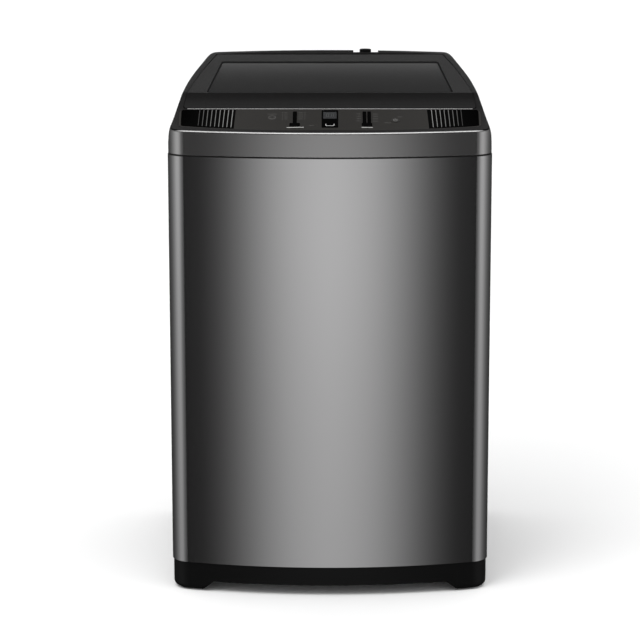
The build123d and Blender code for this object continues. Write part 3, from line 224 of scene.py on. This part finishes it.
class PanelSurface(Plane3):
    """The panel's surface, ruled from the bowed edge above the fascia to the straight line in front of the lid."""

    def at(self, u, v, w=0.0):
        p, n = Plane3.at(self, u, v) * 1000, self.n
        for _ in range(4):
            sag = 890.0 - math.sqrt(890.0 ** 2 - p.x ** 2)
            rise = (PANEL_TOP - PANEL_LOW) / (75.5 - sag)
            gap = PANEL_LOW + rise * (p.y + 271.0 - sag) + w - p.z
            p = p + n * (gap / (n.z - rise * n.y))
        return p / 1000


PANEL = PanelSurface((0, FRONT + 0.004, 0.7896), (1, 0, 0), (0, math.cos(PA), math.sin(PA)))
LA = math.atan2(30.0, 347.0)
LID = Plane3((0, FRONT + 0.150, 0.842), (1, 0, 0), (0, math.cos(LA), math.sin(LA)))


def add_mesh(name, verts, faces, material, body, smooth=False):
    me = bpy.data.meshes.new(name)
    me.from_pydata([tuple(v) for v in verts], [], faces)
    me.update()
    me.validate()
    o = bpy.data.objects.new(name, me)
    scene.collection.objects.link(o)
    o.data.materials.append(M[material])
    if smooth:
        for p in me.polygons:
            p.use_smooth = True
    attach(o, body)
    return o


def plates(name, outlines, plane, w0, w1, material, body):
    """Flat plates: each outline is a closed list of (u, v) in millimetres, raised from w0 to w1."""
    verts, faces = [], []
    for pts in outlines:
        n, k = len(pts), len(verts)
        verts += [plane.at(u, v, w0) for u, v in pts] + [plane.at(u, v, w1) for u, v in pts]
        faces.append(tuple(range(k + n - 1, k - 1, -1)))
        faces.append(tuple(range(k + n, k + 2 * n)))
        faces += [(k + i, k + (i + 1) % n, k + n + (i + 1) % n, k + n + i) for i in range(n)]
    return add_mesh(name, verts, faces, material, body)


def rect(u0, v0, u1, v1):
    return [(u0, v0), (u1, v0), (u1, v1), (u0, v1)]


def arc_band(cx, cy, r0, r1, a0, a1, n=20):
    """A curved band as quads, each its own outline."""
    out = []
    for i in range(n):
        a, b = (math.radians(a0 + (a1 - a0) * t / n) for t in (i, i + 1))
        out.append([(cx + r0 * math.cos(a), cy + r0 * math.sin(a)), (cx + r1 * math.cos(a), cy + r1 * math.sin(a)),
                    (cx + r1 * math.cos(b), cy + r1 * math.sin(b)), (cx + r0 * math.cos(b), cy + r0 * math.sin(b))])
    return out


# ---------------------------------------------------------------------------
# Panel printing
# ---------------------------------------------------------------------------
def ticks(u0, u1, v, n, h=1.1, gap=0.35):
    """A row of short bars that stands for a caption."""
    step = (u1 - u0) / n
    return [rect(u0 + i * step, v - h / 2, u0 + (i + 1 - gap) * step, v + h / 2) for i in range(n)]


def panel_plates(name, outlines, w0, w1, material, body="cabinet"):
    return plates(name, outlines, PANEL, w0, w1, material, body)


panel_plates("key_underlines", [rect(-71, 17.6, -43, 18.9), rect(52, 17.6, 70, 18.9)], 0.0, 0.06, "print_light")
panel_plates("display_screen", [rect(-11, 47, 11, 70)], 0.40, 0.46, "display_grey")
panel_plates("display_digits", [rect(x, y, x + w, y + h) for x, y, w, h in (
    (-6.2, 54.0, 0.7, 4.6), (-6.2, 59.4, 0.7, 4.6), (-2.2, 54.0, 0.7, 4.6), (-2.2, 59.4, 0.7, 4.6), (-5.4, 58.6, 3.1, 0.7),
    (-5.4, 63.8, 3.1, 0.7), (-5.4, 53.4, 3.1, 0.7), (1.8, 54.0, 0.7, 4.6), (1.8, 59.4, 0.7, 4.6), (5.8, 54.0, 0.7, 4.6),
    (5.8, 59.4, 0.7, 4.6), (2.6, 58.6, 3.1, 0.7), (2.6, 63.8, 3.1, 0.7), (2.6, 53.4, 3.1, 0.7))], 0.46, 0.50, "digit_off")
# a light U round the lower edge of the start key: painted highlight of the key's rounded edge
start = [rect(-7.2, 23.6, -6.2, 27.6), rect(6.2, 23.6, 7.2, 27.6)]
start += [rect(-5.0, 20.9, 5.0, 21.9)]
start += arc_band(-5.0, 23.1, 1.2, 2.2, 180, 270, 6) + arc_band(5.0, 23.1, 1.2, 2.2, 270, 360, 6)
panel_plates("start_key_highlight", start, 1.0, 1.06, "print_light", "start_key")
panel_plates("power_symbol", arc_band(108, 44, 2.6, 3.4, 120, 420) + [rect(107.6, 44.5, 108.4, 48.2)], 0.60, 0.66, "print_mid", "power_key")
marks = []
for v in (68, 61, 54, 47):
    marks += ticks(-75.0, -70.0, v, 4) + ticks(-51.5, -44.5, v, 5)
for v in (64, 56, 48, 40):
    marks += ticks(44.0, 51.0, v, 5) + ticks(71.5, 79.5, v, 6)
marks += ticks(-34.0, -26.5, 24.0, 5) + ticks(90.0, 100.5, 35.0, 7) + ticks(112.0, 119.0, 55.5, 5)
panel_plates("caption_marks", marks, 0.0, 0.05, "print_dim")
panel_plates("lamp_marks", [[(u + 0.9 * math.cos(math.radians(60 * i)), v + 0.9 * math.sin(math.radians(60 * i))) for i in range(6)]
                            for u in (-78.5, -41.5) for v in (68, 61, 54, 47)], 0.0, 0.05, "print_dim")
panel_plates("load_symbol", arc_band(-95.5, 53, 5.2, 6.0, 0, 360, 28) + arc_band(-95.5, 53, 3.0, 3.6, 200, 340, 10) + ticks(-103, -88, 64, 8), 0.0, 0.05, "print_dim")


# ---------------------------------------------------------------------------
# Dark band round the lid's glass; its wider rear edge is painted shadow under the window's rear step
# ---------------------------------------------------------------------------
def window(grow, back=0.0):
    """Corners of the lid's window in the lid's plane, each rounded."""
    y0, y1 = -14.55 - grow, 273.0 + grow - back
    base = [(-207.5 - grow, y0), (207.5 + grow, y0), (193.5 + grow + back * 0.05, y1), (-193.5 - grow - back * 0.05, y1)]
    pts, r = [], 8.0 + max(grow, -4.0)
    for i, p in enumerate(base):
        a, b = Vector(base[i - 1]) - Vector(p), Vector(base[(i + 1) % 4]) - Vector(p)
        a.normalize(), b.normalize()
        half = a.angle(b) / 2
        d = r / math.tan(half)
        c = Vector(p) + (a + b).normalized() * (r / math.sin(half))
        s, e = Vector(p) + a * d - c, Vector(p) + b * d - c
        turn = s.angle_signed(e)
        for k in range(9):
            t = -turn * k / 8
            pts.append((c.x + s.x * math.cos(t) - s.y * math.sin(t), c.y + s.x * math.sin(t) + s.y * math.cos(t)))
    return pts


# the rear edge is drawn 11 mm wider as a painted shadow line
outer, inner = window(0.4), window(-2.6, 11.0)
border_and_shadow = [[outer[i], outer[(i + 1) % len(outer)], inner[(i + 1) % len(inner)], inner[i]] for i in range(len(outer))]
plates("glass_border_and_shadow", border_and_shadow, LID, -0.5, -0.25, "gasket", "lid")


# ---------------------------------------------------------------------------
# Perforated basket wall
# ---------------------------------------------------------------------------
def perforated_drum(name, r, z0, z1, cols, rows, hole, material, body, t=0.0010):
    """Sheet rolled to a drum, each cell with an eight-sided hole, both faces and the hole walls."""
    verts, faces = [], []
    arc = 2 * math.pi * r / cols
    dz = (z1 - z0) / rows
    for c in range(cols):
        for q in range(rows):
            blank = q == 0 or q == rows - 1 or (c % 14) in (0, 13)
            cx, cz = (c + 0.5) * arc, z0 + (q + 0.5) * dz
            hx, hz = arc / 2, dz / 2
            ring_o = [(-hx, -hz), (0, -hz), (hx, -hz), (hx, 0), (hx, hz), (0, hz), (-hx, hz), (-hx, 0)]
            ring_i = [(hole * math.cos(math.radians(225 + 45 * i)), hole * math.sin(math.radians(225 + 45 * i))) for i in range(8)]

            def put(x, z, rr):
                a = (cx + x) / r
                return (rr * math.cos(a), rr * math.sin(a), cz + z)

            k = len(verts)
            if blank:
                verts += [put(*ring_o[i], rr) for rr in (r, r - t) for i in (0, 2, 4, 6)]
                faces += [(k, k + 1, k + 2, k + 3), (k + 7, k + 6, k + 5, k + 4)]
                continue
            verts += [put(*p, r) for p in ring_o] + [put(*p, r) for p in ring_i]
            verts += [put(*p, r - t) for p in ring_o] + [put(*p, r - t) for p in ring_i]
            for i in range(8):
                j = (i + 1) % 8
                faces.append((k + i, k + j, k + 8 + j, k + 8 + i))
                faces.append((k + 16 + j, k + 16 + i, k + 24 + i, k + 24 + j))
                faces.append((k + 8 + i, k + 8 + j, k + 24 + j, k + 24 + i))
    o = add_mesh(name, verts, faces, material, body)
    bm = bmesh.new()
    bm.from_mesh(o.data)
    bmesh.ops.remove_doubles(bm, verts=bm.verts, dist=1e-6)
    bm.to_mesh(o.data)
    bm.free()
    return o


drum = perforated_drum("basket_wall", 0.205, 0.245, 0.632, 98, 30, 0.0021, "stainless", "basket")
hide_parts("basket_shell")

# ---------------------------------------------------------------------------
# Coil springs and drain bellows
# ---------------------------------------------------------------------------
def coil(verts, faces, cx, cy, z0, z1, r=0.0145, wire=0.0018, turns=6.5, per=26, sides=8):
    """One closed wire wound upwards, both ends pressed flat."""
    n = int(turns * per)
    base = len(verts)
    low, high = z0 + wire, z1 - wire
    for i in range(n + 1):
        t = i / n
        a = 2 * math.pi * turns * t
        # the first and last turns lie flat
        u = min(max((t * turns - 0.5) / (turns - 1.0), 0.0), 1.0)
        z = low + (high - low) * u
        for k in range(sides):
            b = 2 * math.pi * k / sides
            rr = r + wire * math.cos(b)
            verts.append((cx + rr * math.cos(a), cy + rr * math.sin(a), z + wire * math.sin(b)))
    for i in range(n):
        for k in range(sides):
            p, q = base + i * sides + k, base + i * sides + (k + 1) % sides
            faces.append((q, p, p + sides, q + sides))
    faces.append(tuple(base + k for k in range(sides)))
    faces.append(tuple(base + n * sides + k for k in reversed(range(sides))))


lo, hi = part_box("suspension_springs")
verts, faces = [], []
for sx in (-1, 1):
    for sy in (-1, 1):
        coil(verts, faces, sx * 0.205, sy * 0.205, lo[2], hi[2])
springs = add_mesh("coil_springs", verts, faces, "steel", "cabinet", smooth=True)
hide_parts("suspension_springs")
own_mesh(springs)

lo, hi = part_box("drain_hose")
cx, cy = (lo[0] + hi[0]) / 2, (lo[1] + hi[1]) / 2
folds, ring = 9, 48
step = (hi[2] - lo[2]) / folds
profile = [(0.0115, lo[2])]
for i in range(folds):
    z = lo[2] + i * step
    profile += [(0.0142, z), (0.0142, z + step * 0.2), (0.0164, z + step * 0.36), (0.0170, z + step * 0.55),
                (0.0164, z + step * 0.74), (0.0142, z + step * 0.92)]
profile += [(0.0142, hi[2]), (0.0115, hi[2])]
verts = [(cx + pr * math.cos(2 * math.pi * k / ring), cy + pr * math.sin(2 * math.pi * k / ring), pz) for pr, pz in profile for k in range(ring)]
faces = []
for i in range(len(profile)):
    j = (i + 1) % len(profile)
    for k in range(ring):
        m = (k + 1) % ring
        faces.append((i * ring + k, i * ring + m, j * ring + m, j * ring + k))
bellows = add_mesh("drain_bellows", verts, faces, "hose_grey", "cabinet", smooth=True)
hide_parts("drain_hose")
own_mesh(bellows)

# ---------------------------------------------------------------------------
# Floor, light, camera
# ---------------------------------------------------------------------------
bpy.ops.mesh.primitive_plane_add(size=60, location=(0, 0, -0.0005))
floor = bpy.context.object
floor.name = "floor"
floor.data.materials.append(mat("floor", (0.93, 0.93, 0.93), 0.0, 0.9, spec=0.0))
floor.visible_glossy = False

world = bpy.data.worlds.new("studio")
scene.world = world
world.use_nodes = True
wt = world.node_tree
wt.nodes.clear()


def wn(kind, **inputs):
    n = wt.nodes.new(kind)
    for k, v in inputs.items():
        n.inputs[k.replace("_", " ")].default_value = v
    return n


def wmath(op, a, b=None):
    n = wt.nodes.new("ShaderNodeMath")
    n.operation = op
    for i, v in enumerate((a, b)):
        if v is None:
            continue
        if isinstance(v, (int, float)):
            n.inputs[i].default_value = v
        else:
            wt.links.new(v, n.inputs[i])
    return n.outputs[0]


def wramp(value, stops):
    """Smooth curve through (position, level) stops."""
    n = wt.nodes.new("ShaderNodeFloatCurve")
    c = n.mapping.curves[0]
    top = max(v for _, v in stops)
    pts = [(p, v / top) for p, v in stops]
    c.points[0].location = pts[0]
    c.points[1].location = pts[-1]
    for p in pts[1:-1]:
        c.points.new(*p)
    for p in c.points:
        p.handle_type = "AUTO_CLAMPED"
    n.mapping.update()
    wt.links.new(value, n.inputs["Value"])
    return wmath("MULTIPLY", n.outputs[0], top)


coord = wt.nodes.new("ShaderNodeTexCoord")
sep = wt.nodes.new("ShaderNodeSeparateXYZ")
wt.links.new(coord.outputs["Generated"], sep.inputs[0])
az = wmath("DIVIDE", wmath("ABSOLUTE", wmath("ARCTAN2", sep.outputs["X"], wmath("MULTIPLY", sep.outputs["Y"], -1.0))), math.pi)
el = wmath("ADD", wmath("DIVIDE", wmath("ARCSINE", sep.outputs["Z"]), math.pi), 0.5)


def deg(d):
    return d / 180.0


def eld(d):
    return d / 180.0 + 0.5


middle = wramp(az, [
    (0.0, 1.29), (deg(7), 1.13), (deg(14), 0.80), (deg(19), 0.49), (deg(23), 0.27), (deg(27), 0.115), (deg(31), 0.045), (deg(37), 0.01),
    (deg(44), 0.0), (1.0, 0.0)])
corners = wramp(az, [
    (0.0, 0.0), (deg(36), 0.0), (deg(42), 0.06), (deg(49), 0.36), (deg(58), 0.76), (deg(68), 0.88), (deg(80), 0.74), (deg(94), 0.46),
    (deg(113), 0.22), (deg(130), 0.12), (deg(150), 0.08), (1.0, 0.06)])
side = wramp(el, [(0.0, 0.30), (eld(-50), 0.36), (eld(-30), 0.50), (eld(-16), 0.68), (eld(-12), 0.78), (eld(-8), 1.0), (eld(-2), 1.1), (eld(10), 1.0), (eld(24), 0.70),
                  (eld(38), 0.35), (eld(52), 0.15), (1.0, 0.05)])
box = wramp(el, [(0.0, 0.30), (eld(-50), 0.36), (eld(-30), 0.50), (eld(-16), 0.68), (eld(-12), 0.78), (eld(-8), 1.04), (eld(-4.5), 0.72), (eld(-1), 0.38), (eld(4), 0.30),
                 (eld(24), 0.25), (eld(52), 0.1), (1.0, 0.05)])
over = wramp(el, [(0.0, 0.0), (eld(25), 0.0), (eld(32), 0.02), (eld(38), 0.02), (eld(44), 0.04), (eld(50), 0.18), (eld(56), 0.36), (eld(64), 0.48), (eld(70), 0.45), (eld(78), 0.30), (1.0, 0.5)])
front = wramp(az, [(0.0, 1.0), (deg(60), 0.9), (deg(100), 0.25), (deg(130), 0.0), (1.0, 0.0)])
crown = wmath("MULTIPLY", front, wramp(el, [(0.0, 0.0), (eld(40), 0.0), (eld(54), 1.6), (eld(68), 3.0), (eld(78), 2.4), (eld(86), 0.8), (1.0, 0.3)]))
# a soft horizon behind the machine, finely graded where the lid's glass reflects it
low = wmath("DIVIDE", wmath("SUBTRACT", wmath("MULTIPLY", wmath("SUBTRACT", el, 0.5), 180.0), 10.0), 10.0)
low.node.use_clamp = True
horizon = wramp(low, [(0.0, 0.04), (0.30, 0.10), (0.44, 0.32), (0.495, 0.62), (0.507, 0.56), (0.515, 0.40), (0.523, 0.25), (0.535, 0.155), (0.548, 0.09), (0.56, 0.055), (0.572, 0.035), (0.60, 0.02), (1.0, 0.0)])
back = wramp(az, [(0.0, 0.0), (deg(140), 0.0), (deg(160), 1.0), (1.0, 1.0)])
quarter = wmath("MULTIPLY",
                wramp(az, [(0.0, 0.0), (deg(100), 0.0), (deg(116), 0.5), (deg(132), 1.0), (deg(146), 0.6), (deg(158), 0.0), (1.0, 0.0)]),
                wramp(el, [(0.0, 0.0), (eld(16), 0.0), (eld(28), 0.45), (eld(40), 0.70), (eld(54), 0.45), (eld(70), 0.0), (1.0, 0.0)]))
level = wmath("ADD", wmath("MULTIPLY", middle, box), wmath("MULTIPLY", corners, side))
level = wmath("ADD", level, quarter)
level = wmath("ADD", wmath("ADD", wmath("ADD", level, over), crown), wmath("MULTIPLY", back, horizon))

bg_gloss = wn("ShaderNodeBackground")
comb = wt.nodes.new("ShaderNodeCombineColor")
for i in range(3):
    wt.links.new(level, comb.inputs[i])
wt.links.new(comb.outputs[0], bg_gloss.inputs["Color"])
bg_cam = wn("ShaderNodeBackground", Color=(1, 1, 1, 1), Strength=1.0)
bg_diff = wn("ShaderNodeBackground", Color=(1, 1, 1, 1), Strength=1.0)
lp = wt.nodes.new("ShaderNodeLightPath")
mix1 = wt.nodes.new("ShaderNodeMixShader")
mix2 = wt.nodes.new("ShaderNodeMixShader")
out = wt.nodes.new("ShaderNodeOutputWorld")
wt.links.new(lp.outputs["Is Diffuse Ray"], mix1.inputs[0])
wt.links.new(bg_gloss.outputs[0], mix1.inputs[1])
wt.links.new(bg_diff.outputs[0], mix1.inputs[2])
wt.links.new(lp.outputs["Is Camera Ray"], mix2.inputs[0])
wt.links.new(mix1.outputs[0], mix2.inputs[1])
wt.links.new(bg_cam.outputs[0], mix2.inputs[2])
wt.links.new(mix2.outputs[0], out.inputs[0])


def area(name, loc, aim, size, power, glossy=False):
    d = bpy.data.lights.new(name, "AREA")
    d.shape = "RECTANGLE"
    d.size, d.size_y = size
    d.energy = power
    o = bpy.data.objects.new(name, d)
    scene.collection.objects.link(o)
    o.location = loc
    o.rotation_euler = (Vector(aim) - Vector(loc)).to_track_quat("-Z", "Y").to_euler()
    o.visible_glossy = glossy
    return o


area("key", (-1.2, -1.8, 3.0), (0, 0, 0.5), (1.6, 1.6), 35)

cam_data = bpy.data.cameras.new("camera")
cam = bpy.data.objects.new("camera", cam_data)
scene.collection.objects.link(cam)
cam.location = (0.0, FRONT - 4.0, 1.2875)
cam.rotation_euler = (math.radians(90 - 11.445), 0, 0)
cam_data.sensor_width = 36.0
cam_data.lens = 138.5
cam_data.shift_x = -0.0155
cam_data.clip_end = 200
scene.camera = cam
